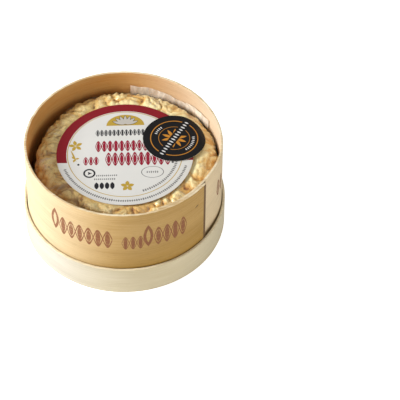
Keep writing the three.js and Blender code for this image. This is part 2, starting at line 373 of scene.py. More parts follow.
def wheel_outline(offset, fine, base_reach):
    """Distances from the axis and heights, from the middle of the top round to below.

    `offset` lies outside the wheel's mean surface, `fine` is the spacing on the free part of
    the top, and `base_reach` is how far the outline runs in under the wheel.
    """
    radius, top, base = WHEEL_RADIUS + offset, WHEEL_TOP + offset, WHEEL_BASE
    edge = TOP_EDGE + offset
    flat = radius - edge
    pressed = flat - 8 * MM  # the label lies here, and a coarse spacing will do
    outline = [(r, top) for r in np.linspace(0, pressed, 16)]
    outline += [(r, top) for r in np.arange(pressed + fine, flat, fine)]
    for tilt in np.linspace(0, math.pi / 2, round(edge * math.pi / 2 / fine)):
        outline.append((flat + edge * math.sin(tilt), top - edge * (1 - math.cos(tilt))))
    half = (top + base) / 2
    outline += [(radius, z) for z in np.arange(top - edge - fine, half, -1.3 * fine)]
    outline += [(radius, z) for z in np.linspace(half, base + BASE_EDGE, 12)]
    for tilt in np.linspace(0.1, math.pi / 2, 8):
        r = radius - BASE_EDGE * (1 - math.cos(tilt))
        outline.append((r, base + BASE_EDGE * (1 - math.sin(tilt))))
    outline += [(r, base) for r in np.linspace(radius - 6 * MM, radius - base_reach, 6)]
    return [(float(r), float(z)) for r, z in outline]


def slump(points):
    """How far the soft wheel has sagged outwards on some sides, as a push from its axis."""
    away = points[:, :2] - WHEEL_AXIS
    distance = np.hypot(*away.T)
    azimuth = np.degrees(np.arctan2(away[:, 1], away[:, 0]))
    push = np.zeros(len(points))
    for reach, middle, half_width in SLUMPS:
        off = np.abs((azimuth - middle + 180) % 360 - 180)
        push = np.maximum(push, reach * MM * smoothstep(off, half_width, 0))
    push *= smoothstep(distance, 0.6 * WHEEL_RADIUS, WHEEL_RADIUS)
    push *= smoothstep(points[:, 2], WHEEL_BASE, WHEEL_TOP - TOP_EDGE)
    outward = away / np.maximum(distance, MM)[:, None]
    return np.append(outward * push[:, None], np.zeros((len(points), 1)), 1)


def kept_inside(points, room):
    """Points held off the box's inner face, and off the band's end that is lapped inside."""
    reach = np.hypot(points[:, 0], points[:, 1])
    azimuth = np.degrees(np.arctan2(points[:, 1], points[:, 0]))
    lapped = (BOX_SEAM + LAP_MARGIN - azimuth) % 360 < BOX_LAP + 2 * LAP_MARGIN
    limit = BOX_RADIUS - VENEER - room - LAP_ROOM * lapped
    scale = np.minimum(1, limit / np.maximum(reach, MM))
    return points * np.stack([scale, scale, np.ones(len(points))], 1)


def shifted(points):
    """Moves points from the Z axis to the wheel's own axis."""
    return points + np.array([*WHEEL_AXIS, 0])


def furrow(place, steepness):
    """0 along winding furrows, 1 on the broad backs between them."""
    return min(1, abs(noise.noise(place)) * steepness)


def folds(points, size):
    """Folds of the rind, from 0 in the creases to 1 on the ridges.

    Towards -X they turn from rounded folds into flat plates parted by thin creases.
    """
    plates = smoothstep(-points[:, 0], -2 * MM, 18 * MM)
    out = np.empty(len(points))
    for i, point in enumerate(points):
        place = Vector(point) / size
        drift = noise.noise_vector(place * 0.4) * 1.1 + noise.noise_vector(place * 1.2) * 0.25
        warped = place + drift
        near, far = noise.voronoi(warped * 0.9)[0][:2]
        cell = min(1, (far - near) * 1.8)
        broad = furrow(warped * 0.8, 3.2)
        small = furrow(warped * 1.9, 2.6)
        rounded = 0.50 * broad**0.6 + 0.24 * cell**0.6 + 0.26 * small**0.7
        flat = 0.26 * broad**0.6 + 0.56 * cell**0.7 + 0.18 * small**0.7
        out[i] = rounded + (flat - rounded) * plates[i]
    return out


def rind_rise(settings, ridge, free):
    """Height of the folds above the wheel's mean surface, pressed flat under the label."""
    height = settings.fold_height * (ridge - MEAN_RIDGE) * (0.12 + 0.88 * free)
    return height - PRESSED_RIND * (1 - free)


# ---- Shader helpers -------------------------------------------------------------------------


class Tree:
    """Adds shader nodes to one tree, so that a pattern reads as a formula."""

    def __init__(self, tree):
        self.tree = tree

    def add(self, kind, **settings):
        node = self.tree.nodes.new(kind)
        for key, value in settings.items():
            setattr(node, key, value)
        return node

    def feed(self, socket, value):
        """Links a socket, or sets a constant on it."""
        if isinstance(value, bpy.types.NodeSocket):
            self.tree.links.new(value, socket)
        elif value is not None:
            if socket.type == "RGBA" and len(value) == 3:
                value = (*value, 1)
            socket.default_value = value

    def math(self, operation, first, second=None, third=None, clamp=False):
        node = self.add("ShaderNodeMath", operation=operation, use_clamp=clamp)
        for socket, value in zip(node.inputs, (first, second, third)):
            self.feed(socket, value)
        return node.outputs[0]

    def vector(self, operation, first, second=None):
        node = self.add("ShaderNodeVectorMath", operation=operation)
        self.feed(node.inputs[0], first)
        self.feed(node.inputs[1], second)
        return node.outputs["Value" if operation in ("LENGTH", "DISTANCE") else "Vector"]

    def mix(self, factor, first, second, blend="MIX"):
        node = self.add("ShaderNodeMix", data_type="RGBA", blend_type=blend)
        for key, value in zip((0, 6, 7), (factor, first, second)):  # its colour sockets
            self.feed(node.inputs[key], value)
        return node.outputs[2]

    def span(self, value, low, high, to_low=0.0, to_high=1.0):
        """A soft passage from to_low to to_high as the value goes from low to high."""
        node = self.add("ShaderNodeMapRange", interpolation_type="SMOOTHSTEP")
        for socket, given in zip(node.inputs, (value, low, high, to_low, to_high)):
            self.feed(socket, given)
        return node.outputs[0]

    def noise(self, vector, scale, detail=2.0, roughness=0.5):
        node = self.add("ShaderNodeTexNoise")
        self.feed(node.inputs["Vector"], vector)
        for key, value in (("Scale", scale), ("Detail", detail), ("Roughness", roughness)):
            self.feed(node.inputs[key], value)
        return node.outputs["Fac"]

    def split(self, vector):
        node = self.add("ShaderNodeSeparateXYZ")
        self.feed(node.inputs[0], vector)
        return node.outputs

    def join(self, x, y, z=0.0):
        node = self.add("ShaderNodeCombineXYZ")
        for socket, value in zip(node.inputs, (x, y, z)):
            self.feed(socket, value)
        return node.outputs[0]

    def use(self, group, **values):
        """Places a node group. A keyword names a socket, with _ for a space."""
        node = self.add("ShaderNodeGroup", node_tree=group)
        for key, value in values.items():
            self.feed(node.inputs[key.replace("_", " ")], value)
        return node.outputs

    def most(self, *masks):
        """The strongest of several masks."""
        strongest = masks[0]
        for mask in masks[1:]:
            strongest = self.math("MAXIMUM", strongest, mask)
        return strongest

    def millimetres(self, centre=(0, 0)):
        """Object coordinates in millimetres, from a centre in metres."""
        place = self.add("ShaderNodeTexCoord").outputs["Object"]
        moved = self.vector("SUBTRACT", place, (centre[0], centre[1], 0))
        node = self.add("ShaderNodeVectorMath", operation="SCALE")
        self.feed(node.inputs[0], moved)
        node.inputs["Scale"].default_value = 1 / MM
        return node.outputs[0]

    def bump(self, height, distance, strength=1.0):
        node = self.add("ShaderNodeBump")
        self.feed(node.inputs["Height"], height)
        node.inputs["Distance"].default_value = distance
        node.inputs["Strength"].default_value = strength
        return node.outputs[0]


def surface(name):
    """A new material's tree and its Principled shader."""
    material = bpy.data.materials.new(name)
    material.use_nodes = True
    return material, Tree(material.node_tree), material.node_tree.nodes["Principled BSDF"]


def node_group(name, inputs, outputs, build):
    """A shader node group, built once. Inputs give each socket's kind and its default."""
    if name in bpy.data.node_groups:
        return bpy.data.node_groups[name]
    group = bpy.data.node_groups.new(name, "ShaderNodeTree")
    for title, (kind, value) in inputs.items():
        socket = group.interface.new_socket(title, in_out="INPUT", socket_type=kind)
        if value is not None:
            socket.default_value = value
    for title, kind in outputs.items():
        group.interface.new_socket(title, in_out="OUTPUT", socket_type=kind)
    tree = Tree(group)
    given = tree.add("NodeGroupInput").outputs
    results = build(tree, given)
    end = tree.add("NodeGroupOutput")
    for title, value in results.items():
        tree.feed(end.inputs[title], value)
    return group


FLOAT, VECTOR, COLOUR = "NodeSocketFloat", "NodeSocketVector", "NodeSocketColor"
SOFT_EDGE = 0.12  # millimetres over which printed ink fades out
LEFT_OUT = -1  # a width at which the stroke row's lozenges or waves aren't drawn


def inside(tree, value, limit, edge=SOFT_EDGE):
    """1 where the value is below the limit, with a soft edge."""
    over = tree.math("SUBTRACT", value, limit)
    return tree.span(over, -edge / 2, edge / 2, 1.0, 0.0)


def stroke_row():
    """A row of upright spindles of varying height, with lozenges and two crossing waves.

    Only whole cells between From and To are drawn.
    """

    def build(t, given):
        run, rise, pitch = given["Along"], given["Across"], given["Pitch"]
        cells = t.math("DIVIDE", run, pitch)
        number = t.math("FLOOR", cells)
        aside = t.math("ABSOLUTE", t.math("SUBTRACT", t.math("FRACT", cells), 0.5))
        aside = t.math("MULTIPLY", aside, pitch)
        chance = t.add("ShaderNodeTexWhiteNoise", noise_dimensions="1D")
        t.feed(chance.inputs["W"], t.math("ADD", number, given["Seed"]))
        cut = t.math("MULTIPLY", chance.outputs["Value"], given["Variation"])
        middle = t.math("MULTIPLY", given["Height"], 0.5)
        off_middle = t.math("ABSOLUTE", t.math("SUBTRACT", rise, middle))
        reach = t.math("MULTIPLY", middle, t.math("SUBTRACT", 1.0, cut))
        share = t.math("DIVIDE", off_middle, reach)
        bulge = t.math("SUBTRACT", 1.0, t.math("POWER", share, 2.5))
        spindle = inside(t, aside, t.math("MULTIPLY", given["Thickness"], bulge))
        gap = t.math("SUBTRACT", t.math("DIVIDE", pitch, 2.0), aside)
        lozenge = inside(t, t.math("MULTIPLY_ADD", off_middle, 0.6, gap), given["Lozenge"])
        swing = t.math("ABSOLUTE", t.math("SINE", t.math("MULTIPLY", cells, math.pi)))
        wave = t.math("SUBTRACT", off_middle, t.math("MULTIPLY", middle, swing))
        wave = inside(t, t.math("ABSOLUTE", wave), given["Wave"])
        row = t.most(spindle, lozenge, wave)
        centre = t.math("MULTIPLY", t.math("ADD", number, 0.5), pitch)
        started = t.math("GREATER_THAN", centre, given["From"])
        going = t.math("LESS_THAN", centre, given["To"])
        return {"Mask": t.math("MULTIPLY", row, t.math("MULTIPLY", started, going))}

    inputs = {
        "Along": (FLOAT, 0), "Across": (FLOAT, 0), "Pitch": (FLOAT, 2), "Height": (FLOAT, 4),
        "Thickness": (FLOAT, 0.5), "Variation": (FLOAT, 0.3), "Lozenge": (FLOAT, LEFT_OUT),
        "Wave": (FLOAT, LEFT_OUT), "Seed": (FLOAT, 0), "From": (FLOAT, -10), "To": (FLOAT, 10),
    }
    return node_group("Stroke row", inputs, {"Mask": FLOAT}, build)


def leaf_mark():
    """A pointed leaf lying at an angle."""

    def build(t, given):
        away = t.vector("SUBTRACT", given["Position"], given["Centre"])
        turn = t.add("ShaderNodeVectorRotate", rotation_type="Z_AXIS")
        t.feed(turn.inputs["Vector"], away)
        t.feed(turn.inputs["Angle"], t.math("MULTIPLY", given["Angle"], -1.0))
        x, y, _ = t.split(turn.outputs[0])
        share = t.math("DIVIDE", x, t.math("DIVIDE", given["Length"], 2.0))
        bulge = t.math("SUBTRACT", 1.0, t.math("MULTIPLY", share, share))
        half = t.math("MULTIPLY", bulge, t.math("DIVIDE", given["Width"], 2.0))
        return {"Mask": inside(t, t.math("ABSOLUTE", y), half)}

    inputs = {
        "Position": (VECTOR, None), "Centre": (VECTOR, None), "Angle": (FLOAT, 0),
        "Length": (FLOAT, 3), "Width": (FLOAT, 1),
    }
    return node_group("Leaf mark", inputs, {"Mask": FLOAT}, build)


def ring_mark():
    """A thin ring, or an oval one where the squash isn't 1."""

    def build(t, given):
        away = t.vector("SUBTRACT", given["Position"], given["Centre"])
        x, y, _ = t.split(away)
        distance = t.vector("LENGTH", t.join(x, t.math("MULTIPLY", y, given["Squash"])))
        off = t.math("ABSOLUTE", t.math("SUBTRACT", distance, given["Radius"]))
        return {"Mask": inside(t, off, t.math("DIVIDE", given["Width"], 2.0))}

    inputs = {
        "Position": (VECTOR, None), "Centre": (VECTOR, None), "Radius": (FLOAT, 5),
        "Width": (FLOAT, 0.4), "Squash": (FLOAT, 1),
    }
    return node_group("Ring mark", inputs, {"Mask": FLOAT}, build)


def peeled_wood():
    """Rotary-peeled veneer: fine streaks along the grain, slow figure and short pores."""

    def build(t, given):
        x, y, z = t.split(given["Grain"])
        slow = t.noise(t.join(t.math("MULTIPLY", x, 0.02), t.math("MULTIPLY", y, 0.16), z), 1.0, 3)
        streak = t.noise(t.join(t.math("MULTIPLY", x, 0.05), t.math("MULTIPLY", y, 2.2), z), 1.0, 4)
        pores = t.noise(t.join(t.math("MULTIPLY", x, 0.35), t.math("MULTIPLY", y, 6.0), z), 1.0, 1)
        figure = t.math("MULTIPLY_ADD", slow, 0.55, t.math("MULTIPLY", streak, 0.6))
        depth = t.span(figure, 0.38, 0.82)
        tone = t.mix(depth, given["Pale"], given["Deep"])
        pore = t.math("MULTIPLY", t.span(pores, 0.62, 0.74), given["Pores"])
        tone = t.mix(pore, tone, given["Deep"], "MULTIPLY")
        relief = t.math("SUBTRACT", t.math("MULTIPLY", streak, 0.6), t.math("MULTIPLY", pore, 0.5))
        rough = t.span(streak, 0.2, 0.8, 0.52, 0.70)
        return {"Colour": tone, "Relief": relief, "Roughness": rough}

    inputs = {
        "Grain": (VECTOR, None), "Pale": (COLOUR, (1, 1, 1, 1)), "Deep": (COLOUR, (1, 1, 1, 1)),
        "Pores": (FLOAT, 0.5),
    }
    outputs = {"Colour": COLOUR, "Relief": FLOAT, "Roughness": FLOAT}
    return node_group("Peeled wood", inputs, outputs, build)


# ---- Materials ------------------------------------------------------------------------------


def rind_material(settings):
    """Wrinkled washed rind: cream ridges, golden slopes, brown creases, with painted shade in the
    creases, a painted highlight on the ridges and a painted tone on the shaded left.
    """
    material, t, shader = surface("washed_rind")
    place = t.millimetres()
    ridge = t.add("ShaderNodeAttribute", attribute_name="ridge").outputs["Fac"]
    mottle = t.noise(place, 0.22, 3)
    blotch = t.noise(place, 0.09, 2)
    fine = t.noise(place, 1.6, 4, 0.6)
    vein = t.math("ABSOLUTE", t.math("SUBTRACT", t.noise(place, 0.5, 3, 0.6), 0.5))
    level = t.math("ADD", ridge, t.math("MULTIPLY_ADD", mottle, 0.4, -0.20))
    level = t.math("ADD", level, t.math("MULTIPLY_ADD", fine, 0.06, -0.03))
    # Partly the rind's own colours and partly painted light: creases darkened as painted shade,
    # ridges lightened as a painted highlight.
    tone = t.mix(t.span(level, 0.18, 0.48), settings.crease, settings.golden)
    tone = t.mix(t.span(level, 0.48, 0.80), tone, settings.cream)
    gilt = t.math("MULTIPLY", t.span(blotch, 0.50, 0.66), 0.5)
    tone = t.mix(gilt, tone, settings.golden)
    x, _, z = t.split(place)
    # Painted light towards -X, where the box's left wall shades the rind: patches take a paler
    # beige that lifts the shade, and the vein colour darkens their hollows as painted shade.
    shaded_left = t.span(x, 8.0, -26.0)
    wear_and_shade = t.math("MULTIPLY", shaded_left, t.span(mottle, 0.25, 0.50))
    hollow = t.span(ridge, 0.27, 0.46)
    shaded_tone = t.mix(hollow, settings.vein, settings.shade)
    tone = t.mix(t.math("MULTIPLY", wear_and_shade, 0.85), tone, shaded_tone)
    shoulder = t.span(z, WHEEL_TOP / MM - 0.6, WHEEL_TOP / MM - 4.6)
    amber = t.math("MULTIPLY", shoulder, t.math("MULTIPLY_ADD", shaded_left, 0.45, 0.25))
    tone = t.mix(amber, tone, settings.amber)
    # Fine dark lines, partly the rind's own and partly painted shade in its fine wrinkles, stronger
    # on the shaded left.
    line = inside(t, vein, 0.014, 0.024)
    lined = t.math("MULTIPLY", line, t.math("MULTIPLY_ADD", shaded_left, 0.30, 0.05))
    tone = t.mix(lined, tone, settings.vein)
    t.feed(shader.inputs["Base Color"], tone)
    t.feed(shader.inputs["Roughness"], t.span(ridge, 0.2, 0.8, 0.36, 0.50))
    t.feed(shader.inputs["Coat Weight"], t.span(mottle, 0.35, 0.65, 0.3, 0.8))
    shader.inputs["Coat Roughness"].default_value = 0.12
    relief = t.math("MULTIPLY_ADD", fine, 0.25, t.span(vein, 0.0, 0.08, 0.0, 0.5))
    t.feed(shader.inputs["Normal"], t.bump(relief, 0.35 * MM, 0.7))
    return material


def film_material(settings):
    """Clear film: all but invisible where it lies flat, whitish on its creases and pleats, partly
    as doubled film and partly as a painted highlight that stands for its glints.
    """
    material, t, shader = surface("clear_film")
    place = t.millimetres()
    milky_glint = t.add("ShaderNodeAttribute", attribute_name="milky_glint").outputs["Fac"]
    streaks = t.noise(t.vector("MULTIPLY", place, (1, 1, 0.25)), 0.5, 3)
    alpha = t.math("MULTIPLY", milky_glint, t.span(streaks, 0.25, 0.7, 0.55, 1.0), clamp=True)
    shader.inputs["Base Color"].default_value = (*settings.tint, 1)
    shader.inputs["Roughness"].default_value = 0.16
    t.feed(shader.inputs["Alpha"], alpha)
    t.feed(shader.inputs["Normal"], t.bump(streaks, 0.3 * MM, 0.3))
    return material


def bend_of(t, x, y):
    """The turn about the middle of a round label, in radians from +X."""
    return t.math("ARCTAN2", y, x)


def label_marks(t, place):
    """The label's generic ornament as masks, one for each ink. Lengths are in millimetres."""
    row, leaf, ring = stroke_row(), leaf_mark(), ring_mark()
    x, y, _ = t.split(place)
    distance, bend = t.vector("LENGTH", t.join(x, y)), bend_of(t, x, y)

    def line(base, start, end, height, **values):
        rise = t.math("SUBTRACT", y, base)
        return t.use(row, Along=x, Across=rise, Height=height, From=start, To=end, **values)[0]

    def arc(radius, start, end, height, **values):
        turn = t.math("MULTIPLY", bend, radius)
        rise = t.math("SUBTRACT", distance, radius)
        return t.use(row, Along=turn, Across=rise, Height=height,
                     From=start * radius, To=end * radius, **values)[0]

    def leaves(centre, count, reach, size, width, first=0.0):
        marks = []
        for i in range(count):
            angle = first + i * 2 * math.pi / count
            spot = (centre[0] + reach * math.cos(angle), centre[1] + reach * math.sin(angle), 0)
            marks.append(t.use(leaf, Position=place, Centre=spot, Angle=angle,
                               Length=size, Width=width)[0])
        return t.most(*marks)

    upper = t.math("GREATER_THAN", y, -4.9)
    maroon = t.math("MULTIPLY", inside(t, 26.9, distance), upper)
    hairline = t.use(ring, Position=place, Radius=26.4, Width=0.35)[0]
    arch = t.math("MULTIPLY", inside(t, t.vector("DISTANCE", t.join(x, t.math("MULTIPLY", y, 1.3)),
                  (0.5, 23.2, 0)), 8.8), t.math("GREATER_THAN", y, 17.8))
    stem = t.use(leaf, Position=place, Centre=(-23.6, -0.6, 0), Angle=1.9, Length=8, Width=0.8)[0]
    gold = t.most(
        hairline, arch, stem,
        leaves((-22.6, 5.6), 5, 1.8, 3.2, 1.7, 0.5), leaves((-23.0, -2.6), 3, 1.1, 2.0, 1.0, 0.2),
        leaves((0.8, -20.0), 5, 1.7, 3.0, 1.9, 0.3),
    )
    red = t.most(
        line(1.9, -12.6, 14.5, 5.8, Pitch=2.7, Thickness=0.72, Variation=0.25, Lozenge=0.5,
             Wave=0.55),
        line(-6.4, -19.8, -12.6, 4.4, Pitch=2.4, Thickness=0.6, Variation=0.2, Wave=0.4),
        line(-6.9, -10.4, 20.2, 7.0, Pitch=3.0, Thickness=0.8, Variation=0.25, Lozenge=0.55,
             Wave=0.65, Seed=9.0),
    )
    dark = t.most(
        line(11.5, -13.4, 13.4, 3.4, Pitch=1.9, Thickness=0.42, Variation=0.2, Lozenge=0.3,
             Wave=0.28),
        line(-21.8, -14.2, -4.2, 4.4, Pitch=2.4, Thickness=1.0, Variation=0.1),
        t.use(ring, Position=place, Centre=(-16.4, -11.8, 0), Radius=2.4, Width=0.8)[0],
        t.use(ring, Position=place, Centre=(12.4, -11.8, 0), Radius=5.0, Width=0.28, Squash=1.5)[0],
        leaves((-16.4, -11.8), 3, 0.3, 1.6, 0.7),
        t.use(leaf, Position=place, Centre=(-21.4, -6.2, 0), Length=1.2, Width=1.2)[0],
        t.use(leaf, Position=place, Centre=(21.8, -6.0, 0), Length=1.2, Width=1.2)[0],
    )
    outline, sheaf = (
        t.most(*(
            t.use(leaf, Position=place, Angle=angle, Length=5.6 + grown, Width=1.5 + grown,
                  Centre=(0.5 + 3.5 * math.cos(angle), 18.4 + 2.9 * math.sin(angle), 0))[0]
            for angle in (math.radians(22.5 * i) for i in range(1, 8))
        ))
        for grown in (0.5, 0)
    )
    dark = t.math("MAXIMUM", dark, t.math("SUBTRACT", outline, sheaf))
    faint = t.most(
        line(-14.0, -13.8, -4.0, 1.3, Pitch=0.9, Thickness=0.28, Variation=0.3),
        line(-16.2, -14.2, -4.2, 1.3, Pitch=0.9, Thickness=0.28, Variation=0.3, Seed=4.0),
        line(-12.6, 9.4, 15.4, 1.6, Pitch=0.95, Thickness=0.28, Variation=0.3, Seed=6.0),
        arc(28.2, -2.82, -0.3, 1.6, Pitch=1.0, Thickness=0.36, Variation=0.35),
        arc(23.4, -1.25, -0.2, 1.7, Pitch=1.05, Thickness=0.36, Variation=0.35, Seed=8.0),
    )
    return maroon, red, gold, sheaf, dark, faint


def printed_paper(name, tone, roughness):
    """Smooth printed paper with a slight tooth and an uneven shine."""
    material, t, shader = surface(name)
    place = t.millimetres()
    tooth = t.noise(place, 5.0, 2)
    cloud = t.noise(place, 0.12, 2)
    t.feed(shader.inputs["Base Color"], tone(t, cloud))
    t.feed(shader.inputs["Roughness"], t.span(cloud, 0.3, 0.7, roughness - 0.07, roughness + 0.07))
    shader.inputs["Specular IOR Level"].default_value = 0.2
    t.feed(shader.inputs["Normal"], t.bump(tooth, 0.03 * MM, 0.4))
    return material


def label_material(settings):
    """The label's face: white paper, a maroon upper ring, gold, red and dark ornament."""

    def tone(t, cloud):
        place = t.millimetres(LABEL_CENTRE)
        maroon, red, gold, sheaf, dark, faint = label_marks(t, place)
        shaded = t.mix(cloud, settings.paper, [0.94 * c for c in settings.paper])
        shaded = t.mix(maroon, shaded, settings.maroon)
        shaded = t.mix(gold, shaded, settings.gold)
        shaded = t.mix(t.math("MULTIPLY", sheaf, 0.9), shaded, settings.sheaf)
        shaded = t.mix(red, shaded, settings.red)
        shaded = t.mix(t.math("MULTIPLY", faint, 0.75), shaded, settings.ink)
        return t.mix(dark, shaded, settings.ink)

    return printed_paper("label_print", tone, roughness=0.82)


STROKE_SLANT = 58  # degrees from +X to the sticker's row of strokes
STROKE_BEND = 8.9  # radius of its two curved rows, in millimetres


def sticker_material(settings):
    """The sticker's face: black, with orange rings and rosette and white strokes."""

    def tone(t, cloud):
        place = t.millimetres(STICKER_CENTRE)
        row, leaf, ring = stroke_row(), leaf_mark(), ring_mark()
        x, y, _ = t.split(place)
        distance, bend = t.vector("LENGTH", t.join(x, y)), bend_of(t, x, y)
        slanted = t.add("ShaderNodeVectorRotate", rotation_type="Z_AXIS")
        t.feed(slanted.inputs["Vector"], place)
        slanted.inputs["Angle"].default_value = -math.radians(STROKE_SLANT)
        along, across, _ = t.split(slanted.outputs[0])
        clear = t.span(t.math("ABSOLUTE", across), 1.9, 2.1)
        rings = t.math("MULTIPLY", t.most(
            t.use(ring, Position=place, Radius=10.9, Width=0.42)[0],
            t.use(ring, Position=place, Radius=7.2, Width=0.22)[0],
        ), clear)
        petals = [
            t.use(leaf, Position=place, Angle=angle, Length=5.6, Width=1.5,
                  Centre=(3.2 * math.cos(angle), 3.2 * math.sin(angle), 0))[0]
            for angle in (i * math.pi / 5 + 0.2 for i in range(10))
        ]
        rosette = t.math("MULTIPLY", t.most(*petals), clear)
        strokes = t.use(row, Along=along, Across=t.math("ADD", across, 1.2), Pitch=1.75,
                        Height=2.4, Thickness=0.36, Variation=0.15, From=-12.5, To=12.5)[0]
        small = [
            t.use(row, Along=t.math("MULTIPLY", bend, STROKE_BEND), Pitch=1.1, Height=1.6,
                  Across=t.math("SUBTRACT", distance, STROKE_BEND - 0.8), Thickness=0.26,
                  Variation=0.3, Seed=seed, From=start * STROKE_BEND, To=end * STROKE_BEND)[0]
            for start, end, seed in ((-0.95, 0.15, 1.0), (2.2, 2.9, 4.0))
        ]
        shaded = t.mix(cloud, settings.black, [1.6 * c for c in settings.black])
        shaded = t.mix(t.most(rings, rosette), shaded, settings.orange)
        return t.mix(t.most(strokes, *small), shaded, settings.white)

    return printed_paper("sticker_print", tone, roughness=0.62)


def plain_paper(settings):
    """The paper's cut edge and back."""

    def tone(t, cloud):
        return t.mix(cloud, settings.paper, [0.9 * c for c in settings.paper])

    return printed_paper("plain_paper", tone, roughness=0.7)


def strip_grain(t):
    """The place along and across a veneer strip, in millimetres."""
    return t.add("ShaderNodeUVMap", uv_map="UVMap").outputs[0]


def wood_surface(name, grain, tones, pores, seed=0.0, marks=None):
    """Peeled wood, with marks printed on it where they are given.

    `tones` gives its pale and its deep colour, from the tree, as they change along it.
    """
    material, t, shader = surface(name)
    place = t.vector("ADD", grain(t), (seed, seed, seed))
    pale, deep = tones(t)
    tone, relief, rough = t.use(peeled_wood(), Grain=place, Pale=pale, Deep=deep, Pores=pores)
    if marks:
        tone = marks(t, tone)
    t.feed(shader.inputs["Base Color"], tone)
    t.feed(shader.inputs["Roughness"], rough)
    t.feed(shader.inputs["Normal"], t.bump(relief, 0.12 * MM, 0.8))
    return material


def even(pale, deep):
    """Wood of one tone all over."""
    return lambda t: (pale, deep)


def arc_length(azimuth, seam=BOX_SEAM, radius=BOX_RADIUS):
    """Millimetres along a band, clockwise from its seam, to an azimuth."""
    return (seam - azimuth) % 360 * math.radians(1) * radius / MM


FULL_TURN = 2 * math.pi * BOX_RADIUS / MM  # millimetres along the band, once round
PAST_END = FULL_TURN + 90  # beyond the band's far end


def between(t, value, first, last, passage):
    """1 between two places, with soft passages about each."""
    rising = t.span(value, first - passage, first + passage)
    falling = t.span(value, last - passage, last + passage, 1.0, 0.0)
    return t.math("MULTIPLY", rising, falling)


def tint(t, tones, mask, strength, tone):
    """Wood's pale and deep colours, tinted where the mask says, so that its grain still shows."""
    share = t.math("MULTIPLY", mask, strength)
    pale, deep = tones
    return t.mix(share, pale, tone), t.mix(share, deep, [0.8 * c for c in tone])


def outer_tones(settings):
    """The outside of the box: golden low down and near the joint, and paler from its lit left round
    to the far side of the joint as painted light.
    """

    def tones(t):
        along, up, _ = t.split(strip_grain(t))
        # Painted light: paler on the box's lit left and on the far side of its joint.
        painted_light = between(t, along, arc_length(-119), PAST_END, 24.0)
        golden = t.math("ADD", t.span(up, 34.0, 14.0), t.span(along, 70.0, 15.0))
        wood = tint(t, (settings.box_pale, settings.box_deep), golden, 0.58, settings.golden)
        return tint(t, wood, painted_light, 0.85, settings.painted_light)

    return tones


def inner_tones(settings):
    """The inside of the box, with painted light: warmer and brighter on its shaded left, paler on
    its lit right.
    """

    def tones(t):
        along = t.split(strip_grain(t))[0]
        # Painted light: paler where the key light falls on the right inside.
        right = between(t, along, arc_length(60), PAST_END, 32.0)
        right = t.math("MAXIMUM", right, t.span(along, 70.0, 10.0))
        # Painted light: warmer and brighter on the shaded left inside.
        left = between(t, along, arc_length(228), arc_length(172), 16.0)
        wood = (settings.inner_pale, settings.inner_deep)
        wood = tint(t, wood, left, 0.9, settings.inner_left_painted_light)
        return tint(t, wood, right, 0.92, settings.inner_right_painted_light)

    return tones


def lid_tones(settings):
    """The outside of the lid, whiter on its left as painted light where the key light falls."""

    def tones(t):
        along = t.split(strip_grain(t))[0]
        start, end = (arc_length(azimuth, LID_SEAM, LID_RADIUS) for azimuth in (-112, 155))
        wood = (settings.lid_pale, settings.lid_deep)
        return tint(t, wood, between(t, along, start, end, 26.0), 0.8, settings.lid_painted_light)

    return tones


def box_stamp(settings):
    """The ornament stamped on the box, a dark fleck, and the dark line of the band's joint, which
    is painted shade where the lapped end steps down.
    """

    def marks(t, wood):
        strip_place = strip_grain(t)
        along, up, _ = t.split(strip_place)
        row, leaf = stroke_row(), leaf_mark()
        wear_and_shade = t.noise(t.join(t.math("MULTIPLY", along, 0.4), up), 0.9, 3)

        def group(first, last, base, height, **values):
            rise = t.math("SUBTRACT", up, base)
            return t.use(row, Along=along, Across=rise, Height=height, From=arc_length(last),
                         To=arc_length(first), **values)[0]

        def tall_leaf(azimuth, base, height):
            centre = (arc_length(azimuth), base + height / 2, 0)
            outer, inner = (
                t.use(leaf, Position=strip_place, Centre=centre, Angle=math.pi / 2,
                      Length=size * height, Width=width)[0]
                for size, width in ((1, 4.6), (0.62, 1.9))
            )
            return t.math("SUBTRACT", outer, inner)

        ink = t.most(
            tall_leaf(-134, 27.6, 14.0),
            group(-130, -97, 27.8, 9.8, Pitch=4.4, Thickness=1.15, Variation=0.2, Wave=0.85),
            group(-93, -81, 26.9, 7.6, Pitch=3.4, Thickness=0.9, Variation=0.1, Wave=0.5),
            tall_leaf(-77, 26.9, 14.6),
            group(-73.5, -50, 27.6, 10.4, Pitch=4.2, Thickness=1.15, Variation=0.2, Wave=0.85),
            group(-21, -12, 27.4, 9.0, Pitch=4.2, Thickness=0.9, Variation=0.2, Wave=0.7),
        )
        ink = t.math("MULTIPLY", ink, t.span(wear_and_shade, 0.25, 0.5, 0.62, 0.95))
        printed = t.mix(ink, wood, settings.stamp)
        fleck = t.use(leaf, Position=strip_place, Centre=(arc_length(-44.5), 39.5, 0), Angle=-0.35,
                      Length=2.6, Width=0.8)[0]
        # Painted shade along the step where the band's lapped end meets its other layer.
        joint = t.most(
            inside(t, along, 1.5, 0.5),
            inside(t, t.math("ABSOLUTE", t.math("SUBTRACT", along, FULL_TURN)), 1.5, 0.6),
        )
        dark = t.math("MULTIPLY", t.math("MAXIMUM", fleck, joint), 0.85)
        return t.mix(dark, printed, settings.shadow)

    return marks


# ---- Pieces ---------------------------------------------------------------------------------


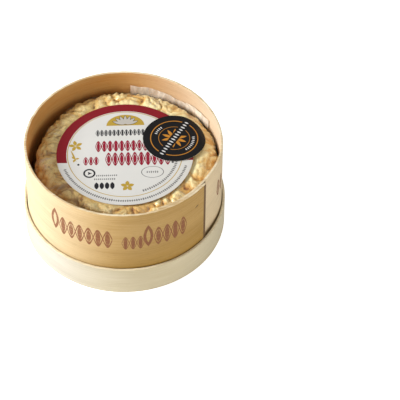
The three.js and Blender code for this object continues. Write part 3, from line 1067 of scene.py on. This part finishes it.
class CHEESE_OT_rind(bpy.types.Operator):
    """Models the wheel with its wrinkled rind"""

    bl_idname = "mesh.cheese_rind"
    bl_label = "Rind"

    def execute(self, context):
        settings = context.scene.cheese.rind
        piece = turned("rind_wheel", wheel_outline(0, RIND_SPACING, WHEEL_RADIUS), RIND_STEPS)
        points = shifted(points_of(piece))
        normals = normals_of(piece)
        ridge = folds(points, settings.fold_size)
        free = free_share(points, RIND_MARGIN)
        underneath = smoothstep(points[:, 2], WHEEL_BASE + 1 * MM, WHEEL_BASE + 5 * MM)
        rise = rind_rise(settings, ridge, free)
        moved = points + normals * (rise * underneath)[:, None] + slump(points)
        moved[:, 2] += top_swell(points)
        place_points(piece, kept_inside(moved, RIND_ROOM))
        store(piece, "ridge", ridge)
        smooth(piece, 180)
        paint(piece, rind_material(settings))
        finish(piece, "rind", "cheese_wheel")
        return {"FINISHED"}


class CHEESE_OT_film(bpy.types.Operator):
    """Models the clear film over the wheel and its gathered edge at the back right"""

    bl_idname = "mesh.cheese_film"
    bl_label = "Film"

    def execute(self, context):
        settings = context.scene.cheese.film
        material = film_material(settings)
        outline = wheel_outline(settings.offset, FILM_SPACING, FILM_HEM)
        piece = turned("film_skin", outline, FILM_STEPS)
        points = shifted(points_of(piece))
        free = free_share(points, FILM_MARGIN)
        azimuth = np.arctan2(points[:, 1] - WHEEL_AXIS[1], points[:, 0] - WHEEL_AXIS[0])
        around = np.stack([np.cos(azimuth) * 9, np.sin(azimuth) * 9, points[:, 2] / (9 * MM)], 1)
        crease = 1 - np.abs(noise_at(around, 0.55, 1)) * 3.2
        crease = np.clip(crease, 0, 1) ** 2 * smoothstep(noise_at(around, 1.9, 2), -0.15, 0.35)
        rind = context.scene.cheese.rind
        below = rind_rise(rind, folds(points, rind.fold_size), free) + settings.clearance
        settle = np.maximum(below, FILM_FLOOR) - settings.offset
        settle = settle * free + (PRESSED_FILM - settings.offset) * (1 - free)
        lift = settle + FILM_CREASE * crease * free
        points += normals_of(piece) * lift[:, None] + slump(points)
        points[:, 2] += top_swell(points)
        place_points(piece, kept_inside(points, FILM_ROOM))
        # Whitish on the film's creases, partly a painted highlight that stands for their glints.
        store(piece, "milky_glint", 0.02 + 0.26 * crease * free)
        paint(piece, material)
        modify(piece, "SOLIDIFY", thickness=settings.thickness, offset=1)
        smooth(piece, 180)
        finish(piece, "clear_film", "film_wrap")
        self.flap("film_flap_back", material, span=(85, 44), feet=(-5.0, -5.0),
                  crests=(0.5, -1.1), lean=1.0, glint_milk=0.40)
        # The right length is whiter, partly a painted highlight for its bright glints.
        self.flap("film_flap_right", material, span=(47, 25), feet=(-5.0, -4.0),
                  crests=(0.5, 1.3), lean=0.7, glint_milk=0.70)
        return {"FINISHED"}

    def flap(self, name, material, span, feet, crests, lean, glint_milk):
        """One length of the film's loose edge, standing between the wheel and the wall.

        It runs clockwise between the two azimuths of `span`. `feet` and `crests` are the heights
        of its lower and upper edge at both ends, in millimetres above the wheel's top. `lean` is
        how far its foot stands from the wall. `glint_milk` is how whitish it is, partly painted
        highlight.
        """
        settings = bpy.context.scene.cheese.film
        width = span[0] - span[1]
        piece = strip(name, 6 * width, 24)
        flat = points_of(piece)
        run, rise = flat[:, 0] + 0.5, flat[:, 1] + 0.5
        turn = np.radians(span[0] - width * run)
        travelled = (math.radians(span[0]) - turn) * BOX_RADIUS / MM

        def waves(length, climb, seed):
            places = np.stack([travelled / length, rise * climb, np.full_like(rise, width)], 1)
            return noise_at(places, 1, seed)

        pleat, tuck, crest = waves(7, 0.7, 3), waves(2.6, 0.9, 5), waves(6, 0, 6)
        foot = feet[0] + (feet[1] - feet[0]) * run
        top = crests[0] + (crests[1] - crests[0]) * run + 0.8 * crest
        z = WHEEL_TOP + (foot + (top - foot) * rise) * MM
        folds_out = (0.8 * pleat + 0.3 * tuck) * (0.25 + 0.75 * rise)
        stand = CREST_LEAN + (lean - CREST_LEAN) * (1 - rise)
        reach = BOX_RADIUS - VENEER - (stand - folds_out) * MM
        reach = np.minimum(reach, BOX_RADIUS - VENEER - FLAP_ROOM)
        place_points(piece, np.stack([reach * np.cos(turn), reach * np.sin(turn), z], 1))
        # Whiter along the folds of the pleats and the rolled hem, partly a painted highlight.
        edges = np.clip(1 - 5 * np.abs(pleat), 0, 1) + 0.6 * np.clip(1 - 6 * np.abs(tuck), 0, 1)
        hem = smoothstep(rise, 0.93, 1.0)
        store(piece, "milky_glint", glint_milk + 0.25 * edges + 0.2 * hem)
        flip(piece)
        paint(piece, material)
        modify(piece, "SOLIDIFY", thickness=settings.thickness, offset=0)
        smooth(piece, 60)
        finish(piece, "clear_film", "film_wrap")


def paper_disc(name, materials, centre, radius, level, thickness, waves):
    """A round sheet that lies on the wheel and bends down past the flat of its top."""
    outline = [(r, 0) for r in np.linspace(0, radius, 40)]
    piece = turned(name, [(float(r), z) for r, z in outline], 180)
    points = points_of(piece) + np.array([*centre, 0])
    past = np.maximum(0, from_centre(points, WHEEL_AXIS) - (WHEEL_RADIUS - TOP_EDGE))
    bent = np.minimum(past, PAPER_TURN * TOP_EDGE)
    drop = TOP_EDGE - np.sqrt(TOP_EDGE**2 - bent**2) + PAPER_SLOPE * (past - bent)
    ripple = waves * noise_at(points, 9 * MM, 8)
    points[:, 2] = level + swell(points) - drop + ripple
    place_points(piece, points)
    if normals_of(piece)[0][2] < 0:
        flip(piece)
    paint(piece, *materials)
    modify(piece, "SOLIDIFY", thickness=thickness, offset=-1, material_offset=1,
           material_offset_rim=1)
    smooth(piece, 40)
    return piece


class CHEESE_OT_label(bpy.types.Operator):
    """Models the round paper label with its generic ornament"""

    bl_idname = "mesh.cheese_label"
    bl_label = "Label"

    def execute(self, context):
        settings = context.scene.cheese.paper
        faces = [label_material(settings), plain_paper(settings)]
        piece = paper_disc("label_disc", faces, LABEL_CENTRE, LABEL_RADIUS, LABEL_LEVEL,
                           settings.thickness, waves=0.12 * MM)
        finish(piece, "label_paper", "paper_label")
        return {"FINISHED"}


class CHEESE_OT_sticker(bpy.types.Operator):
    """Models the smaller black sticker that laps over the label's edge"""

    bl_idname = "mesh.cheese_sticker"
    bl_label = "Sticker"

    def execute(self, context):
        settings = context.scene.cheese.paper
        faces = [sticker_material(settings), plain_paper(settings)]
        piece = paper_disc("sticker_disc", faces, STICKER_CENTRE, STICKER_RADIUS, STICKER_LEVEL,
                           settings.thickness, waves=0.1 * MM)
        finish(piece, "sticker_paper", "round_sticker")
        return {"FINISHED"}


def bent_band(name, materials, radius, low, high, seam, lap, step):
    """A strip of veneer bent round clockwise from its seam, its far end lapped over its start.

    The outer face keeps the radius until it nears its own start, and there passes it by `step`.
    """
    piece = strip(name, 560, 16)
    flat = points_of(piece)
    run, rise = flat[:, 0] + 0.5, flat[:, 1] + 0.5
    travelled = run * (360 + lap)
    turn = np.radians(seam - travelled)
    ring = np.stack([np.cos(turn) * 2, np.sin(turn) * 2, rise * 0.6], 1)
    out = radius + step * smoothstep(travelled, 330, 358) + 0.1 * MM * noise_at(ring, 1, 4)
    out += 0.2 * MM * smoothstep(travelled, 5, 0)
    ragged = 0.16 * MM * noise_at(np.stack([travelled / 4, rise * 9, rise * 0], 1), 1, 2)
    z = low + (high - low) * rise + ragged * (np.abs(rise - 0.5) * 2) ** 6 * (rise > 0.5)
    place_points(piece, np.stack([out * np.cos(turn), out * np.sin(turn), z], 1))
    long, tall = math.radians(360 + lap) * radius / MM, (high - low) / MM
    layer = piece.data.uv_layers["UVMap"].data
    uv = np.empty(len(layer) * 2)
    layer.foreach_get("uv", uv)
    layer.foreach_set("uv", (uv.reshape(-1, 2) * (long, tall)).ravel())
    flip(piece)
    paint(piece, *materials)
    modify(piece, "SOLIDIFY", thickness=VENEER, offset=-1, material_offset=1, material_offset_rim=2)
    return piece


def ease_edges(piece, width):
    """Rounds a board's or a band's cut edges."""
    modify(piece, "BEVEL", width=width, segments=2, limit_method="ANGLE",
           angle_limit=math.radians(50))
    smooth(piece, 40)


def round_board(name, low, high, rounding):
    """A thin round board with eased edges."""
    centre, radius = (low + high) / 2, (high[0] - low[0]) / 2
    start_clean()
    bpy.ops.mesh.primitive_cylinder_add(vertices=180, radius=radius, depth=high[2] - low[2],
                                        location=centre)
    piece = named(name)
    bpy.ops.object.transform_apply(location=True)
    bpy.ops.object.mode_set(mode="EDIT")
    bpy.ops.mesh.select_all(action="DESELECT")
    bpy.ops.object.mode_set(mode="OBJECT")
    for face in piece.data.polygons:
        face.select = abs(face.normal.z) > 0.9
    bpy.ops.object.mode_set(mode="EDIT")
    bpy.ops.mesh.inset(thickness=1.5 * MM, use_individual=True)
    bpy.ops.object.mode_set(mode="OBJECT")
    ease_edges(piece, rounding)
    return piece


def pale_edge(name, pale, deep, seed):
    """The pale cut edge of a veneer or board."""
    return wood_surface(name, Tree.millimetres, even(pale, deep), pores=0.2, seed=seed)


class CHEESE_OT_box(bpy.types.Operator):
    """Models the box's bent wall and its floor"""

    bl_idname = "mesh.cheese_box"
    bl_label = "Box"

    def execute(self, context):
        settings = context.scene.cheese.wood
        faces = [
            wood_surface("box_outside", strip_grain, outer_tones(settings), pores=0.35, seed=3.0,
                         marks=box_stamp(settings)),
            wood_surface("box_inside", strip_grain, inner_tones(settings), pores=0.45, seed=57.0),
            pale_edge("box_edge", settings.edge, settings.box_pale, seed=11.0),
        ]
        wall = bent_band("box_wall", faces, BOX_RADIUS, BOX_LOW[2], BOX_HIGH[2], BOX_SEAM,
                         BOX_LAP, -(VENEER + GLUE_LINE))
        ease_edges(wall, settings.edge_rounding)
        finish(wall, "box_veneer", "box_hoop")
        board = round_board("box_board", FLOOR_LOW, FLOOR_HIGH, settings.edge_rounding)
        tones = even(settings.box_pale, settings.box_deep)
        paint(board, wood_surface("box_board_face", Tree.millimetres, tones, pores=0.5, seed=23.0))
        finish(board, "box_board", "box_floor")
        return {"FINISHED"}


class CHEESE_OT_lid(bpy.types.Operator):
    """Models the upturned lid that the box stands in"""

    bl_idname = "mesh.cheese_lid"
    bl_label = "Lid"

    def execute(self, context):
        settings = context.scene.cheese.wood
        tones = even(settings.lid_pale, settings.lid_deep)
        faces = [
            wood_surface("lid_outside", strip_grain, lid_tones(settings), pores=0.2, seed=31.0),
            wood_surface("lid_inside", strip_grain, tones, pores=0.3, seed=77.0),
            pale_edge("lid_edge", settings.edge, settings.lid_pale, seed=13.0),
        ]
        wall = bent_band("lid_wall", faces, LID_RADIUS, LID_LOW[2], LID_HIGH[2], LID_SEAM,
                         LID_LAP, VENEER + GLUE_LINE)
        ease_edges(wall, settings.edge_rounding)
        finish(wall, "lid_veneer", "lid_hoop")
        board = round_board("lid_board", PANEL_LOW, PANEL_HIGH, settings.edge_rounding)
        paint(board, wood_surface("lid_board_face", Tree.millimetres, tones, pores=0.35, seed=41.0))
        finish(board, "lid_board", "lid_panel")
        return {"FINISHED"}


# ---- Stage ----------------------------------------------------------------------------------

EYE = (0, -678.0 * MM, 772.1 * MM)
EYE_TURN, EYE_PITCH, EYE_ROLL = 0.0522, 0.8431, 0.0174  # radians
LENS, SENSOR = 194.75, 36.0  # millimetres
KEY_PLACE, KEY_SIZE = (-0.99, -0.13, 0.53), 0.4  # metres
REFLECTOR_PLACE, REFLECTOR_SIZE = (0.82, -0.85, 0.30), 0.8
FLOOR_SIZE = 6


class CHEESE_OT_stage(bpy.types.Operator):
    """Sets up the floor, the lights and the camera"""

    bl_idname = "scene.cheese_stage"
    bl_label = "Stage"

    def execute(self, context):
        settings = context.scene.cheese.stage
        self.floor(settings)
        self.lights(context, settings)
        self.camera(context)
        context.scene.view_settings.view_transform = "Standard"
        return {"FINISHED"}

    def floor(self, settings):
        start_clean()
        bpy.ops.mesh.primitive_plane_add(size=FLOOR_SIZE)
        floor = named("floor")
        material, t, shader = surface("pale_floor")
        seen = t.add("ShaderNodeLightPath").outputs["Is Camera Ray"]
        shader.inputs["Base Color"].default_value = (*settings.floor, 1)
        shader.inputs["Roughness"].default_value = 0.9
        shader.inputs["Emission Color"].default_value = (1, 1, 1, 1)
        t.feed(shader.inputs["Emission Strength"], t.math("MULTIPLY", seen, settings.floor_glow))
        floor.data.materials.append(material)

    def lights(self, context, settings):
        world = context.scene.world or bpy.data.worlds.new("surroundings")
        context.scene.world = world
        world.use_nodes = True
        sky = world.node_tree.nodes["Background"]
        sky.inputs["Color"].default_value = (1, 1, 1, 1)
        sky.inputs["Strength"].default_value = settings.fill
        self.area("key", KEY_PLACE, KEY_SIZE, settings.key_power)
        self.area("reflector", REFLECTOR_PLACE, REFLECTOR_SIZE, settings.reflector_power)

    def area(self, name, place, size, power):
        """A square light aimed at the wheel."""
        light = bpy.data.lights.new(name, "AREA")
        light.size, light.energy = size, power
        lamp = bpy.data.objects.new(name, light)
        lamp.location = place
        lamp.rotation_euler = (-Vector(place)).to_track_quat("-Z", "Y").to_euler()
        bpy.context.scene.collection.objects.link(lamp)

    def camera(self, context):
        data = bpy.data.cameras.new("camera")
        data.lens, data.sensor_width = LENS, SENSOR
        data.clip_start, data.clip_end = 0.01, 20
        eye = bpy.data.objects.new("camera", data)
        turn, pitch = EYE_TURN, EYE_PITCH
        ahead = Vector((math.sin(turn) * math.cos(pitch), math.cos(turn) * math.cos(pitch),
                        -math.sin(pitch)))
        side = Vector((math.cos(turn), -math.sin(turn), 0))
        up = side.cross(ahead)
        across = math.cos(EYE_ROLL) * side + math.sin(EYE_ROLL) * up
        upward = math.cos(EYE_ROLL) * up - math.sin(EYE_ROLL) * side
        axes = Matrix((across, upward, -ahead)).transposed()
        eye.matrix_world = Matrix.Translation(EYE) @ axes.to_4x4()
        context.scene.collection.objects.link(eye)
        context.scene.camera = eye


# ---- Add-on ---------------------------------------------------------------------------------

STEPS = (
    CHEESE_OT_rind,
    CHEESE_OT_film,
    CHEESE_OT_label,
    CHEESE_OT_sticker,
    CHEESE_OT_box,
    CHEESE_OT_lid,
    CHEESE_OT_stage,
)


class CHEESE_PT_panel(bpy.types.Panel):
    """Lists the pieces and their settings"""

    bl_label = "Boxed cheese wheel"
    bl_space_type = "VIEW_3D"
    bl_region_type = "UI"
    bl_category = "Cheese"

    def draw(self, context):
        settings = context.scene.cheese
        for step in STEPS:
            self.layout.operator(step.bl_idname)
        for group in ("rind", "film", "paper", "wood", "stage"):
            box = self.layout.box()
            box.label(text=group.title())
            part = getattr(settings, group)
            for key in part.__annotations__:
                box.prop(part, key)


CLASSES = (
    CheeseRindSettings,
    CheeseFilmSettings,
    CheesePaperSettings,
    CheeseWoodSettings,
    CheeseStageSettings,
    CheeseSettings,
    *STEPS,
    CHEESE_PT_panel,
)


def register():
    for cls in CLASSES:
        bpy.utils.register_class(cls)
    bpy.types.Scene.cheese = bpy.props.PointerProperty(type=CheeseSettings)


def unregister():
    del bpy.types.Scene.cheese
    for cls in reversed(CLASSES):
        bpy.utils.unregister_class(cls)


def main():
    register()
    for step in STEPS:
        family, name = step.bl_idname.split(".")
        getattr(getattr(bpy.ops, family), name)()


if __name__ == "__main__":
    main()
